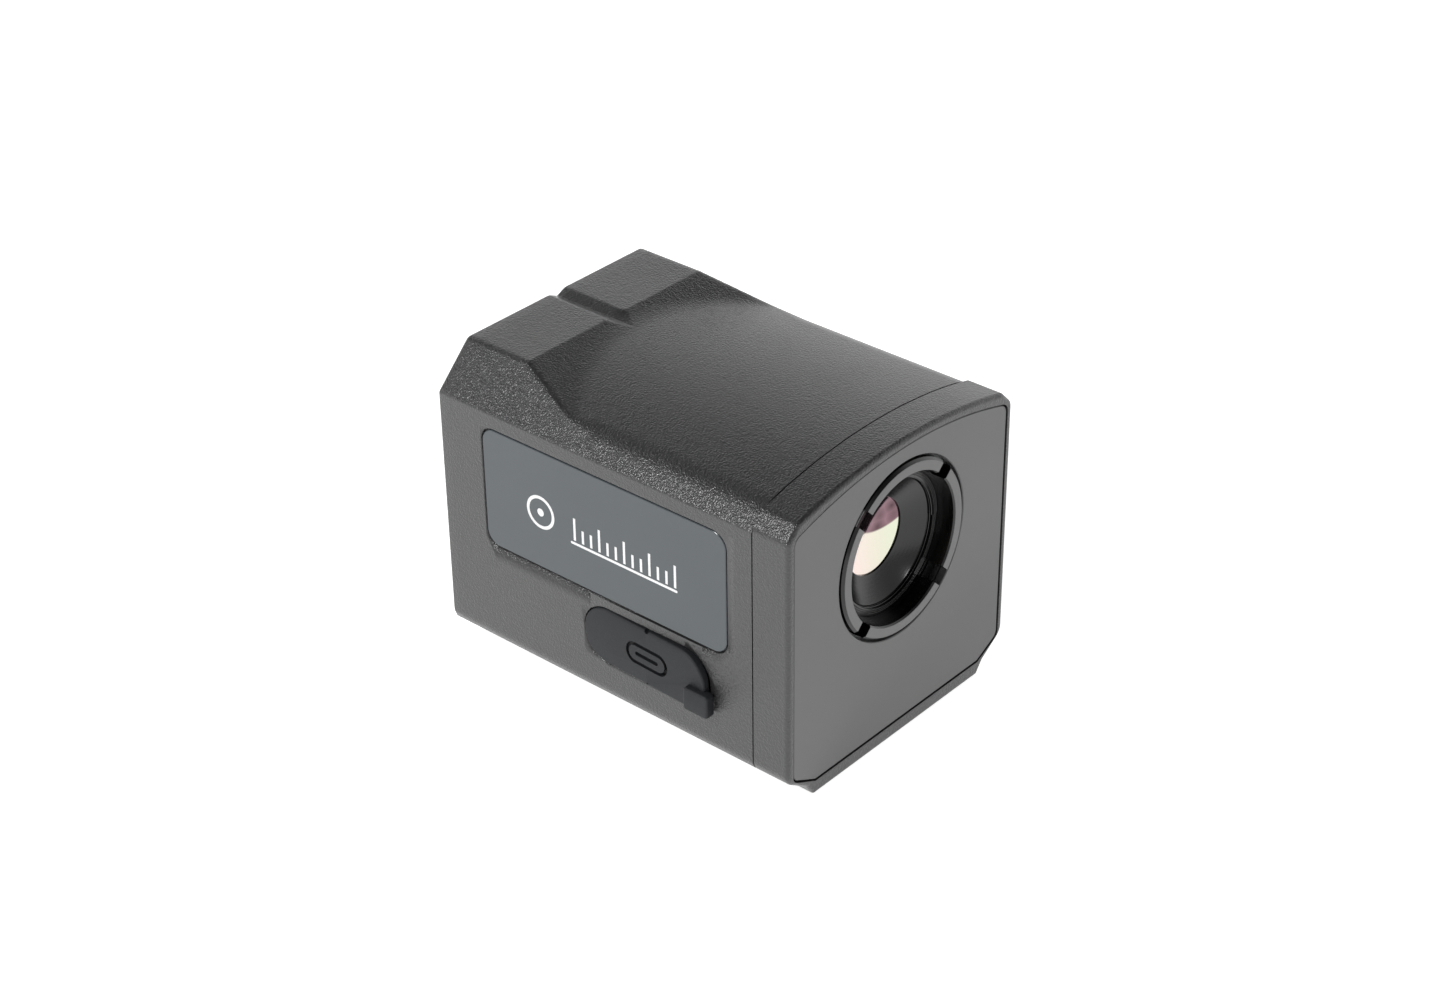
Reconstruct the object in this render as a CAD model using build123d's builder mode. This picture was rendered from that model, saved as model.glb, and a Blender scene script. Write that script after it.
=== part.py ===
from build123d import *
import math
import os

# A palm-sized thermal imaging camera. Millimetres, +Z up, the lens looks along -Y.
# The origin is the mouth of the tripod socket, in the middle of the base.

# ---------------------------------------------------------------- driving dimensions
HALF_WIDTH = 24.4
FRONT_Y = -31.9
REAR_Y = 32.5
CROWN_Z = 48.3          # top of the arched roof, on the centre line
ROOF_RADIUS = 90.0
TOP_Z = 49.1            # flat top at the rear
TOP_HALF = 18.1
CORNER_SUM = TOP_HALF + TOP_Z   # x + z on the 45 degree sides
BEZEL_PROUD = 0.55      # the bezel's 45 degree corners stand out by this much more in x + z
BASE_HALF = 18.6        # flat base
STEP = (20.0, 1.9)      # corner between the two slopes under each side
SIDE_FOOT_Z = 4.8       # where the side wall turns into the slope
WALL = 2.2
SLOPE_TOP_Y = 20.6      # front edge of the flat top
SLOPE_DEG = 17.0
GROOVE_HALF = 1.7
GROOVE_DEPTH = 0.78     # the groove's floor runs out at the foot of the slope
REAR_ROUND = 0.5
RIDGE_ROUND = 0.6

SEAM = 0.2              # gap between bezel and housing, filled by the gasket
HOUSING_FRONT_Y = -25.6
BEZEL_REAR_Y = HOUSING_FRONT_Y - SEAM
RIM_ROUND = 0.7
PLATE_FRONT_Y = FRONT_Y + 0.1
PLATE_THICK = 1.2
TAPE = 0.2
PLATE_HALF = 23.1
PLATE_LOW_Z = 2.5
PLATE_TOP_Z = 47.0
PLATE_ARCH_R = 74.0
PLATE_SLOPE = (4.6, 2.3)    # run and rise of the plate's lower corners
PLATE_GAP = 0.2
WEB_FRONT_Y = PLATE_FRONT_Y + PLATE_THICK + TAPE

LENS_Z = 30.9
PLATE_HOLE = 13.7
RING_R = 13.3
RING_FRONT_Y = -32.15
RING_INNER_R = 11.3
RUNNING = 0.05          # radial clearance of every turning or sliding fit
SCREW_R = 0.8           # M1.6 screws throughout, and their tapped holes
SCREW_HOLE_R = 1.0      # clearance holes for them, and tapped holes of the M2 studs
CELL_THREAD_R = 10.7
CELL_GUIDE_R = 9.5
LENS_R = 6.4
SLOT_WIDTH = 2.5

CORE_HALF = 17.0        # mounting plate and circuit boards of the lens and sensor stack
CORE_HALF_HEIGHT = 13.5
POST_X = 15.5
POST_Z = 11.6
MOUNT_Y = BEZEL_REAR_Y
MOUNT_THICK = 2.0
SHUTTER_Y = -17.0
SHUTTER_THICK = 0.8
SENSOR_BOARD_Y = -11.0
PROCESSOR_BOARD_Y = -6.8
BOARD = 1.2
SPREADER_Y = -3.2
SPREADER_THICK = 1.6

PIVOT = (10.5, 21.6)    # x and z of the shutter pivot
LOW_BOARD_Z = 12.0
LOW_BOARD_TOP = LOW_BOARD_Z + BOARD

PORT_Y = -12.4
PORT_Z = 14.85
HINGE_Y = -6.9          # flex line of the rubber port cover
COVER_HALF = 4.55
COVER_REAR_Y = 5.3
COVER_NOSE_Y = -13.4    # centre of the flap's round nose
COVER_FLOOR_X = -23.4

PANEL = ((-21.1, 21.2), (24.0, 40.3))   # lowest and highest (y, z) of the side panel
PANEL_FLOOR_X = -23.6

UPPER_BOSSES = [(x, 39.8) for x in (-19.9, 19.9)]
LOWER_BOSSES = [(x, 7.8) for x in (-19.4, 19.4)]
BEZEL_SCREWS = UPPER_BOSSES + LOWER_BOSSES
POSTS = [(x, LENS_Z + z) for x in (-POST_X, POST_X) for z in (-POST_Z, POST_Z)]
LOW_SCREWS = [(x, y) for x in (-13.0, 13.0) for y in (-18.5, 19.0)]
SPREADER_SCREWS = [(x, 25.0) for x in (-20.3, 20.3)]

LENS_AXIS = Axis((0, 0, LENS_Z), (0, 1, 0))
os.makedirs("parts", exist_ok=True)


# ---------------------------------------------------------------- shared operations
def across(y):
    """Plane square to the lens axis at y, with local x along X and local y along Z."""
    return Plane.XZ.offset(-y)


def finish(piece, name):
    piece.part.label = name
    export_step(piece.part, f"parts/{name}.step")


def roof_z(x):
    return CROWN_Z - ROOF_RADIUS + math.sqrt(ROOF_RADIUS**2 - x**2)


def outline(inset=0.0, proud=0.0, edge=0.0, foot=2.5):
    """Cross-section of housing and bezel: arched roof, 45 degree corners, upright sides, two slopes
    under each side and a flat base. Edge rounds the 45 degree corners, foot the slopes' tops."""
    corner_sum = CORNER_SUM + proud
    to_centre = corner_sum - CROWN_Z + ROOF_RADIUS
    arch_half = (to_centre - math.sqrt(2 * ROOF_RADIUS**2 - to_centre**2)) / 2
    right = [(BASE_HALF, 0), STEP, (HALF_WIDTH, SIDE_FOOT_Z), (HALF_WIDTH, corner_sum - HALF_WIDTH),
             (arch_half, roof_z(arch_half))]
    left = [(-x, z) for x, z in reversed(right)]
    with BuildSketch(mode=Mode.PRIVATE) as section:
        with BuildLine():
            Polyline(*right)
            ThreePointArc(right[-1], (0, CROWN_Z), left[0])
            Polyline(*left, right[0])
        make_face()
        if inset:
            offset(amount=-inset, kind=Kind.INTERSECTION)
        side = HALF_WIDTH - inset
        if edge:
            fillet(section.vertices().filter_by_position(Axis.Y, 30, 60), edge)
        feet = section.vertices().filter_by(lambda v: abs(abs(v.X) - side) < 0.2 and v.Y < 20)
        fillet(feet, foot)
    return section.sketch


def plate_outline(grow=0.0):
    """Front plate: arched top, upright sides, a shallow slope to its straight lower edge."""
    run, rise = PLATE_SLOPE
    half = PLATE_HALF + grow
    low = PLATE_LOW_Z - grow
    top = PLATE_TOP_Z + grow
    side_top = top - PLATE_ARCH_R + math.sqrt(PLATE_ARCH_R**2 - half**2)
    foot_half = PLATE_HALF - run
    with BuildSketch(mode=Mode.PRIVATE) as section:
        with BuildLine():
            Polyline((half, side_top), (half, low + rise), (foot_half, low), (-foot_half, low))
            Polyline((-foot_half, low), (-half, low + rise), (-half, side_top))
            ThreePointArc((half, side_top), (0, top), (-half, side_top))
        make_face()
        fillet(section.vertices().filter_by_position(Axis.Y, 30, 60), 1.6)
        fillet(section.vertices().filter_by_position(Axis.Y, low + rise / 2, 10), 1.5)
    return section.sketch


def turn(profile, mode=Mode.ADD):
    """Turns (y, radius) points about the lens axis."""
    with BuildSketch(Plane.YZ) as section:
        with BuildLine():
            Polyline(*[(y, LENS_Z + radius) for y, radius in profile], close=True)
        make_face()
    revolve(section.sketch, axis=LENS_AXIS, mode=mode)


def torus(y, major, minor):
    """A round-section ring about the lens axis."""
    with BuildSketch(Plane.YZ) as section:
        with Locations((y, LENS_Z + major)):
            Circle(minor)
    revolve(section.sketch, axis=LENS_AXIS)


def block(low, high, mode=Mode.ADD):
    """Box between two corners."""
    with Locations([tuple((a + b) / 2 for a, b in zip(low, high))]):
        Box(*[b - a for a, b in zip(low, high)], mode=mode)


def rod(x, z, start_y, end_y, radius, mode=Mode.ADD):
    """Round bar along Y."""
    with Locations(Location((x, (start_y + end_y) / 2, z), (90, 0, 0))):
        Cylinder(radius, end_y - start_y, mode=mode)


def upright(x, y, low_z, high_z, radius, mode=Mode.ADD):
    """Round bar along Z."""
    with Locations((x, y, (low_z + high_z) / 2)):
        Cylinder(radius, high_z - low_z, mode=mode)


def core_plate(start_y, thick):
    """Plate of the lens and sensor stack, with its four corner holes."""
    with BuildSketch(across(start_y)) as section:
        with Locations((0, LENS_Z)):
            RectangleRounded(2 * CORE_HALF, 2 * CORE_HALF_HEIGHT, 1.5)
        with Locations(*POSTS):
            Circle(SCREW_HOLE_R, mode=Mode.SUBTRACT)
    extrude(section.sketch, amount=-thick)


def side_slot(x, thick, start_y, end_y, half):
    """Slot-shaped slab on a wall plane at x, going towards -X, between two round ends."""
    with BuildSketch(Plane.YZ.offset(x)) as section:
        with Locations(((start_y + end_y) / 2, PORT_Z)):
            SlotOverall(end_y - start_y, 2 * half)
    return extrude(section.sketch, amount=-thick, mode=Mode.PRIVATE)


# ---------------------------------------------------------------- main housing
# Cast aluminium cup, closed at the rear. Its roof is an arch that rises behind into a flat
# top with 45 degree sides, a sloping front and a V groove along the centre line.
CHAMFER_LOW_Z = CORNER_SUM - HALF_WIDTH
SLOPE_RUN = 12.0
SLOPE_DROP = SLOPE_RUN * math.tan(math.radians(SLOPE_DEG))
GROOVE_FRONT_Y = SLOPE_TOP_Y - 3.2
INSIDE_BASE_Z = 1.5     # pillars and bosses start inside the base's thickness
INSERT_LENGTH = 7.5
INSERT_OUTER_R = 4.5
INSERT_R = 3.175        # half of a quarter inch
SEAT_GAP = 0.2          # round the rubber cover, and 0.1 more round the side panel
PORT_HALF = 2.3
PORT_REACH = 5.1        # half the length of the port hole
STEM_Y = 0.75           # the cover's stem
STEM_R = 1.45

with BuildPart() as raised_roof:
    with BuildSketch(across(-10)):
        with BuildLine():
            Polyline(
                (-HALF_WIDTH, 20), (HALF_WIDTH, 20), (HALF_WIDTH, CHAMFER_LOW_Z), (TOP_HALF, TOP_Z),
                (-TOP_HALF, TOP_Z), (-HALF_WIDTH, CHAMFER_LOW_Z), close=True,
            )
        make_face()
    extrude(amount=-(REAR_Y + 10))
    with BuildSketch(Plane.YZ):
        with BuildLine():
            Polyline(
                (REAR_Y, 20), (REAR_Y, TOP_Z), (SLOPE_TOP_Y, TOP_Z),
                (SLOPE_TOP_Y - 2 * SLOPE_RUN, TOP_Z - 2 * SLOPE_DROP), (SLOPE_TOP_Y - 2 * SLOPE_RUN, 20),
                close=True,
            )
        make_face()
    extrude(amount=HALF_WIDTH, both=True, mode=Mode.INTERSECT)

with BuildPart() as main_housing:
    with BuildSketch(across(HOUSING_FRONT_Y)):
        add(outline())
    extrude(amount=-(REAR_Y - HOUSING_FRONT_Y))
    add(raised_roof.part)
    # Soft edges round the flat top and down the two ridges beside the slope.
    top_edges = main_housing.edges().filter_by_position(Axis.Z, 45.0, TOP_Z + 0.01)
    ridges = top_edges.filter_by(lambda e: e.length > 8 and TOP_HALF - 1 < abs(e.center().X) < 20.5)
    front_rim = top_edges.filter_by(lambda e: e.length > 8 and abs(e.center().Y - SLOPE_TOP_Y) < 0.1)
    ridges_behind = ridges.filter_by(lambda e: e.center().Y > 12)
    fillet(ridges_behind + front_rim, RIDGE_ROUND)
    rear_edges = main_housing.edges().filter_by_position(Axis.Y, REAR_Y - 0.01, REAR_Y + 0.01)
    fillet(rear_edges, REAR_ROUND)
    with BuildSketch(across(GROOVE_FRONT_Y)):
        Polygon(
            (-GROOVE_HALF * 2, TOP_Z + GROOVE_DEPTH), (GROOVE_HALF * 2, TOP_Z + GROOVE_DEPTH),
            (0, TOP_Z - GROOVE_DEPTH), align=None,
        )
    extrude(amount=-(REAR_Y + 1 - GROOVE_FRONT_Y), mode=Mode.SUBTRACT)
    # The inside follows the outline one wall further in.
    with BuildSketch(across(HOUSING_FRONT_Y)):
        add(outline(inset=WALL, foot=1.0))
    extrude(amount=-(REAR_Y - WALL - HOUSING_FRONT_Y), mode=Mode.SUBTRACT)
    # Bosses for the bezel screws, clipped by the outline where they meet the walls.
    with BuildSketch(across(HOUSING_FRONT_Y)):
        with Locations(*UPPER_BOSSES):
            Circle(2.6)
        with Locations(*LOWER_BOSSES):
            Circle(3.2)
        add(outline(inset=0.5, foot=1.0), mode=Mode.INTERSECT)
    extrude(amount=-7)
    for x, z in BEZEL_SCREWS:
        rod(x, z, HOUSING_FRONT_Y, HOUSING_FRONT_Y + 6, SCREW_R, mode=Mode.SUBTRACT)
    # Ribs that carry the heat spreader on both side walls.
    for side in (-1, 1):
        xs = sorted((side * 18.4, side * (HALF_WIDTH - WALL + 0.5)))
        block((xs[0], SPREADER_Y + SPREADER_THICK, 22.5), (xs[1], REAR_Y - WALL + 0.5, 27.5))
    for x, z in SPREADER_SCREWS:
        hole_y = SPREADER_Y + SPREADER_THICK
        rod(x, z, hole_y, hole_y + 6, SCREW_R, mode=Mode.SUBTRACT)
    # Pillars for the lower board, and the boss round the tripod insert.
    for x, y in LOW_SCREWS:
        upright(x, y, INSIDE_BASE_Z, LOW_BOARD_Z, 2.4)
        upright(x, y, LOW_BOARD_Z - 5, LOW_BOARD_Z, SCREW_R, mode=Mode.SUBTRACT)
    upright(0, 0, INSIDE_BASE_Z, INSERT_LENGTH + 1.5, INSERT_OUTER_R + 1.5)
    upright(0, 0, 0, INSERT_LENGTH, INSERT_OUTER_R, mode=Mode.SUBTRACT)
    # Left wall: shallow seats for the side panel and the rubber cover, and the port itself.
    (y0, z0), (y1, z1) = PANEL
    with BuildSketch(Plane.YZ.offset(PANEL_FLOOR_X)):
        with Locations(((y0 + y1) / 2, (z0 + z1) / 2)):
            RectangleRounded(y1 - y0 + 2 * SEAT_GAP + 0.2, z1 - z0 + 2 * SEAT_GAP + 0.2, 2.6)
    extrude(amount=-2, mode=Mode.SUBTRACT)
    seat_half = COVER_HALF + SEAT_GAP
    seat = side_slot(COVER_FLOOR_X, 2, COVER_NOSE_Y - seat_half, COVER_REAR_Y + SEAT_GAP, seat_half)
    add(seat, mode=Mode.SUBTRACT)
    add(side_slot(-21, 3, PORT_Y - PORT_REACH, PORT_Y + PORT_REACH, PORT_HALF), mode=Mode.SUBTRACT)
    with Locations(Location((COVER_FLOOR_X, STEM_Y, PORT_Z), (0, 90, 0))):
        Cylinder(STEM_R + RUNNING, 4, mode=Mode.SUBTRACT)
finish(main_housing, "main_housing")

# ---------------------------------------------------------------- tripod insert
# Steel 1/4 inch insert, pressed into the base.
with BuildPart() as tripod_insert:
    upright(0, 0, 0, INSERT_LENGTH, INSERT_OUTER_R)
    upright(0, 0, 0, INSERT_LENGTH - 1, INSERT_R, mode=Mode.SUBTRACT)
    mouth_edges = tripod_insert.edges().filter_by(GeomType.CIRCLE).group_by(Axis.Z)[0]
    chamfer(mouth_edges.sort_by(SortBy.LENGTH)[0], 0.3)
finish(tripod_insert, "tripod_insert")

# ---------------------------------------------------------------- front bezel
# Machined frame with a thick web. The web holds the focus ring and the whole lens stack.
FLANGE_R = 14.7
FLANGE_Y = -27.2
HEAD_DEPTH = 1.4        # of the bezel screws' counterbores
with BuildPart() as front_bezel:
    with BuildSketch(across(FRONT_Y)):
        add(outline(proud=BEZEL_PROUD, edge=1.5))
    extrude(amount=-(BEZEL_REAR_Y - FRONT_Y))
    fillet(front_bezel.edges().filter_by_position(Axis.Y, FRONT_Y - 0.01, FRONT_Y + 0.01), RIM_ROUND)
    with BuildSketch(across(FRONT_Y)):
        add(plate_outline(PLATE_GAP))
    extrude(amount=-(WEB_FRONT_Y - FRONT_Y), mode=Mode.SUBTRACT)
    rod(0, LENS_Z, WEB_FRONT_Y, BEZEL_REAR_Y, RING_R + RUNNING, mode=Mode.SUBTRACT)
    rod(0, LENS_Z, FLANGE_Y - 0.1, BEZEL_REAR_Y, FLANGE_R + 0.2, mode=Mode.SUBTRACT)
    for x, z in BEZEL_SCREWS:
        rod(x, z, WEB_FRONT_Y, BEZEL_REAR_Y, 1.1, mode=Mode.SUBTRACT)
        rod(x, z, WEB_FRONT_Y, WEB_FRONT_Y + HEAD_DEPTH, 2.1, mode=Mode.SUBTRACT)
    for x, z in POSTS:
        rod(x, z, BEZEL_REAR_Y - 3.5, BEZEL_REAR_Y, SCREW_HOLE_R, mode=Mode.SUBTRACT)
    # Two tongues on the rear face sit inside the housing's side walls and centre the bezel.
    for side in (-1, 1):
        xs = sorted((side * (HALF_WIDTH - WALL - 0.1), side * (HALF_WIDTH - WALL - 1.4)))
        block((xs[0], BEZEL_REAR_Y - 0.5, 18.0), (xs[1], BEZEL_REAR_Y + 3.0, 32.0))
finish(front_bezel, "front_bezel")

# Rubber cord gasket: fills the seam, set back a little from the outside.
with BuildPart() as bezel_gasket:
    with BuildSketch(across(BEZEL_REAR_Y)):
        add(outline(inset=0.35, foot=2.2))
        add(outline(inset=1.5, foot=1.0), mode=Mode.SUBTRACT)
    extrude(amount=-SEAM)
finish(bezel_gasket, "bezel_gasket")

with BuildPart() as bezel_screws:
    for x, z in BEZEL_SCREWS:
        rod(x, z, WEB_FRONT_Y + 0.1, WEB_FRONT_Y + HEAD_DEPTH, 1.9)
        rod(x, z, WEB_FRONT_Y + HEAD_DEPTH, HOUSING_FRONT_Y + 5, SCREW_R)
    with BuildSketch(across(WEB_FRONT_Y + 0.1)):
        with Locations(*BEZEL_SCREWS):
            RegularPolygon(0.75, 6)
    extrude(amount=-0.8, mode=Mode.SUBTRACT)
finish(bezel_screws, "bezel_screws")

# ---------------------------------------------------------------- front plate and its tape
for thick, front, name in ((PLATE_THICK, PLATE_FRONT_Y, "front_plate"),
                           (TAPE, PLATE_FRONT_Y + PLATE_THICK, "front_plate_tape")):
    with BuildPart() as layer:
        with BuildSketch(across(front)):
            add(plate_outline(0.0 if name == "front_plate" else -1.0))
            with Locations((0, LENS_Z)):
                Circle(PLATE_HOLE if name == "front_plate" else PLATE_HOLE + 1.0, mode=Mode.SUBTRACT)
        extrude(amount=-thick)
        if name == "front_plate":
            chamfer(layer.edges().filter_by_position(Axis.Y, front - 0.01, front + 0.01), 0.12)
    finish(layer, name)

# ---------------------------------------------------------------- focus ring
# Turned aluminium. It turns in the bezel, held between web and lens mount by its flange, and its
# inner thread drives the lens cell. Four slots in its face take a pin spanner.
RING_REAR_Y = BEZEL_REAR_Y - 0.1
RING_CHAMFER = 0.4
SLOT_DEPTH = 2.3
INNER_STEP_Y = RING_FRONT_Y + SLOT_DEPTH + 0.2
SEAL_HALF = 0.5         # half the seal groove's width
SEAL_DEPTH = 0.9
ORING_Y = -28.8
ORING_R = 0.45
RING_BORE_R = CELL_THREAD_R + RUNNING
with BuildPart() as focus_ring:
    turn([
        (RING_FRONT_Y, RING_INNER_R + 0.25), (RING_FRONT_Y, RING_R - RING_CHAMFER),
        (RING_FRONT_Y + RING_CHAMFER, RING_R), (ORING_Y - SEAL_HALF, RING_R),
        (ORING_Y - SEAL_HALF, RING_R - SEAL_DEPTH), (ORING_Y + SEAL_HALF, RING_R - SEAL_DEPTH),
        (ORING_Y + SEAL_HALF, RING_R), (FLANGE_Y, RING_R), (FLANGE_Y, FLANGE_R), (RING_REAR_Y, FLANGE_R),
        (RING_REAR_Y, RING_BORE_R), (INNER_STEP_Y, RING_BORE_R), (INNER_STEP_Y, RING_INNER_R),
        (RING_FRONT_Y + 0.25, RING_INNER_R),
    ])
    with BuildSketch(across(RING_FRONT_Y)):
        with Locations((0, LENS_Z)):
            for angle in (45, 135):
                with Locations(Rotation(0, 0, angle)):
                    Rectangle(2 * RING_R + 1, SLOT_WIDTH)
            Circle(RING_BORE_R, mode=Mode.SUBTRACT)
    extrude(amount=-SLOT_DEPTH, mode=Mode.SUBTRACT)
finish(focus_ring, "focus_ring")

with BuildPart() as focus_ring_seal:
    torus(ORING_Y, RING_R - ORING_R, ORING_R)
finish(focus_ring_seal, "focus_ring_seal")

# ---------------------------------------------------------------- lens cell and what it holds
# The cell slides on the optical axis. From the front it takes the rear lens, a spacer, the
# front lens with its seal, and the screwed-in retainer whose cone is the visible baffle.
CELL_FRONT_Y = RING_FRONT_Y + 2.6
CELL_THREAD_END_Y = -26.5
CELL_REAR_Y = -18.5
CONE_FRONT = (CELL_FRONT_Y + 0.75, 9.6)
LENS_SEAT_Y = -26.6
CONE_REAR = (LENS_SEAT_Y - 0.3, 5.8)
FRONT_LENS_EDGE = 2.0
SPACER_LENGTH = 3.1
REAR_LENS_EDGE = 2.0
SPACER_Y = LENS_SEAT_Y + FRONT_LENS_EDGE
REAR_LENS_Y = SPACER_Y + SPACER_LENGTH
LENS_STOP_Y = REAR_LENS_Y + REAR_LENS_EDGE
GUIDE_Y = -20.5
GUIDE_PIN_R = 0.75
with BuildPart() as lens_cell:
    turn([
        (CELL_FRONT_Y, CONE_FRONT[1]), (CELL_FRONT_Y, CELL_THREAD_R), (CELL_THREAD_END_Y, CELL_THREAD_R),
        (CELL_THREAD_END_Y, CELL_GUIDE_R), (CELL_REAR_Y, CELL_GUIDE_R), (CELL_REAR_Y, 5.0),
        (LENS_STOP_Y, 5.0), (LENS_STOP_Y, LENS_R), (LENS_SEAT_Y + 0.9, LENS_R),
        (LENS_SEAT_Y + 0.9, LENS_R + 1.0), (LENS_SEAT_Y, LENS_R + 1.0), (LENS_SEAT_Y, CONE_FRONT[1]),
    ])
    for side in (-1, 1):
        xs = sorted((side * 8.1, side * 10.0))
        half = GUIDE_PIN_R + RUNNING
        block((xs[0], GUIDE_Y - 1.5, LENS_Z - half), (xs[1], CELL_REAR_Y, LENS_Z + half), mode=Mode.SUBTRACT)
finish(lens_cell, "lens_cell")

with BuildPart() as lens_retainer:
    turn([CONE_FRONT, CONE_REAR, (LENS_SEAT_Y, CONE_REAR[1]), (LENS_SEAT_Y, CONE_FRONT[1])])
    # Two fine steps turned into the cone keep stray light off the lens.
    for share in (0.3, 0.65):
        y = CONE_FRONT[0] + share * (CONE_REAR[0] - CONE_FRONT[0])
        radius = CONE_FRONT[1] + share * (CONE_REAR[1] - CONE_FRONT[1])
        turn([(y - 0.6, radius), (y + 0.25, radius), (y + 0.25, radius - 0.7), (y - 0.6, radius - 0.7)],
             mode=Mode.SUBTRACT)
finish(lens_retainer, "lens_retainer")

with BuildPart() as front_lens_seal:
    torus(LENS_SEAT_Y + 0.45, LENS_R + 0.5, 0.4)
finish(front_lens_seal, "front_lens_seal")

with BuildPart() as lens_spacer:
    turn([(SPACER_Y, 5.8), (SPACER_Y, LENS_R), (REAR_LENS_Y, LENS_R), (REAR_LENS_Y, 5.8)])
finish(lens_spacer, "lens_spacer")


CLEAR_R = 5.7           # polished faces of both lenses


def sag(rise, height):
    """How far a spherical face that rises by rise over the clear radius falls back at height."""
    bend = (CLEAR_R**2 + rise**2) / (2 * abs(rise))
    return math.copysign(bend - math.sqrt(bend**2 - height**2), rise)


def lens(front_y, edge, front_rise, rear_rise, name):
    """Meniscus lens. Each face stands towards -Y by its rise in the middle; a negative rise is
    towards +Y."""
    rear_y = front_y + edge
    half = CLEAR_R / 2
    with BuildPart() as element:
        with BuildSketch(Plane.YZ) as section:
            with BuildLine():
                front_mid = front_y - front_rise
                rear_mid = rear_y - rear_rise
                ThreePointArc((front_mid, LENS_Z), (front_mid + sag(front_rise, half), LENS_Z + half),
                              (front_y, LENS_Z + CLEAR_R))
                Polyline((front_y, LENS_Z + CLEAR_R), (front_y, LENS_Z + LENS_R),
                         (rear_y, LENS_Z + LENS_R), (rear_y, LENS_Z + CLEAR_R))
                ThreePointArc((rear_y, LENS_Z + CLEAR_R), (rear_mid + sag(rear_rise, half), LENS_Z + half),
                              (rear_mid, LENS_Z))
                Line((rear_mid, LENS_Z), (front_mid, LENS_Z))
            make_face()
        revolve(section.sketch, axis=LENS_AXIS)
    finish(element, name)


lens(LENS_SEAT_Y, FRONT_LENS_EDGE, -0.9, -0.9, "front_lens")
lens(REAR_LENS_Y, REAR_LENS_EDGE, 1.0, 0.7, "rear_lens")

# ---------------------------------------------------------------- lens mount and guide pins
# Plate behind the web with a guide tube for the cell. Two pins in the tube stop it turning.
TUBE_R = 10.8
TUBE_REAR_Y = -18.6
with BuildPart() as lens_mount:
    core_plate(MOUNT_Y, MOUNT_THICK)
    rod(0, LENS_Z, MOUNT_Y + MOUNT_THICK, TUBE_REAR_Y, TUBE_R)
    rod(0, LENS_Z, MOUNT_Y, TUBE_REAR_Y, CELL_GUIDE_R + RUNNING, mode=Mode.SUBTRACT)
    with Locations(Location((0, GUIDE_Y, LENS_Z), (0, 90, 0))):
        Cylinder(GUIDE_PIN_R, 2 * TUBE_R, mode=Mode.SUBTRACT)
finish(lens_mount, "lens_mount")

with BuildPart() as guide_pins:
    for side in (-1, 1):
        with Locations(Location((side * 9.5, GUIDE_Y, LENS_Z), (0, 90, 0))):
            Cylinder(GUIDE_PIN_R, 2.4)
finish(guide_pins, "guide_pins")

# ---------------------------------------------------------------- stack posts and screws
SHUTTER_REAR_Y = SHUTTER_Y + SHUTTER_THICK
BOARD_STACK = (
    ("front_standoffs", MOUNT_Y + MOUNT_THICK, SHUTTER_Y),
    ("rear_standoffs", SHUTTER_REAR_Y, SENSOR_BOARD_Y),
    ("board_spacers", SENSOR_BOARD_Y + BOARD, PROCESSOR_BOARD_Y),
)
for name, start_y, end_y in BOARD_STACK:
    with BuildPart() as posts:
        for x, z in POSTS:
            rod(x, z, start_y, end_y, 1.5)
            rod(x, z, start_y, end_y, SCREW_R, mode=Mode.SUBTRACT)
            if name == "front_standoffs":
                # The threaded stud passes the lens mount and screws into the bezel web.
                rod(x, z, BEZEL_REAR_Y - 3.2, start_y + 2, SCREW_HOLE_R)
    finish(posts, name)

with BuildPart() as core_screws:
    for x, z in POSTS:
        rear_y = PROCESSOR_BOARD_Y + BOARD
        rod(x, z, rear_y, rear_y + 1.2, 1.7)
        rod(x, z, SHUTTER_Y - 3, rear_y, SCREW_R)
finish(core_screws, "core_screws")

# ---------------------------------------------------------------- shutter
# A flag that swings in front of the detector for calibration, on a small rotary actuator.
APERTURE_R = 5.2
FLAG_R = 5.8
BLADE_Y = SHUTTER_REAR_Y + 0.3
BLADE_THICK = 0.3
SWING_DEG = 46.0
SHAFT_R = 0.6
px, pz = PIVOT
arm_angle = math.degrees(math.atan2(LENS_Z - pz, -px)) - SWING_DEG
arm = math.hypot(px, LENS_Z - pz)
with BuildPart() as shutter_base:
    core_plate(SHUTTER_Y, SHUTTER_THICK)
    rod(0, LENS_Z, SHUTTER_Y, SHUTTER_REAR_Y, APERTURE_R, mode=Mode.SUBTRACT)
    rod(px, pz, SHUTTER_Y, SHUTTER_REAR_Y, SHAFT_R + RUNNING, mode=Mode.SUBTRACT)
finish(shutter_base, "shutter_base")

with BuildPart() as shutter_actuator:
    rod(px, pz, SHUTTER_Y - 4.6, SHUTTER_Y, 3.0)
    rod(px, pz, SHUTTER_Y - 4.2, SHUTTER_Y, SHAFT_R + RUNNING, mode=Mode.SUBTRACT)
finish(shutter_actuator, "shutter_actuator")

with BuildPart() as shutter_shaft:
    rod(px, pz, SHUTTER_Y - 4.0, BLADE_Y + BLADE_THICK + 0.2, SHAFT_R)
finish(shutter_shaft, "shutter_shaft")

flag_x = px + arm * math.cos(math.radians(arm_angle))
flag_z = pz + arm * math.sin(math.radians(arm_angle))
with BuildPart() as shutter_blade:
    with BuildSketch(across(BLADE_Y)):
        with Locations((flag_x, flag_z)):
            Circle(FLAG_R)
        with Locations((px, pz)):
            Circle(1.6)
        with Locations(Location(((px + flag_x) / 2, (pz + flag_z) / 2, 0), (0, 0, arm_angle))):
            Rectangle(arm, 2.4)
        with Locations((px, pz)):
            Circle(SHAFT_R, mode=Mode.SUBTRACT)
    extrude(amount=-BLADE_THICK)
finish(shutter_blade, "shutter_blade")

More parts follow.
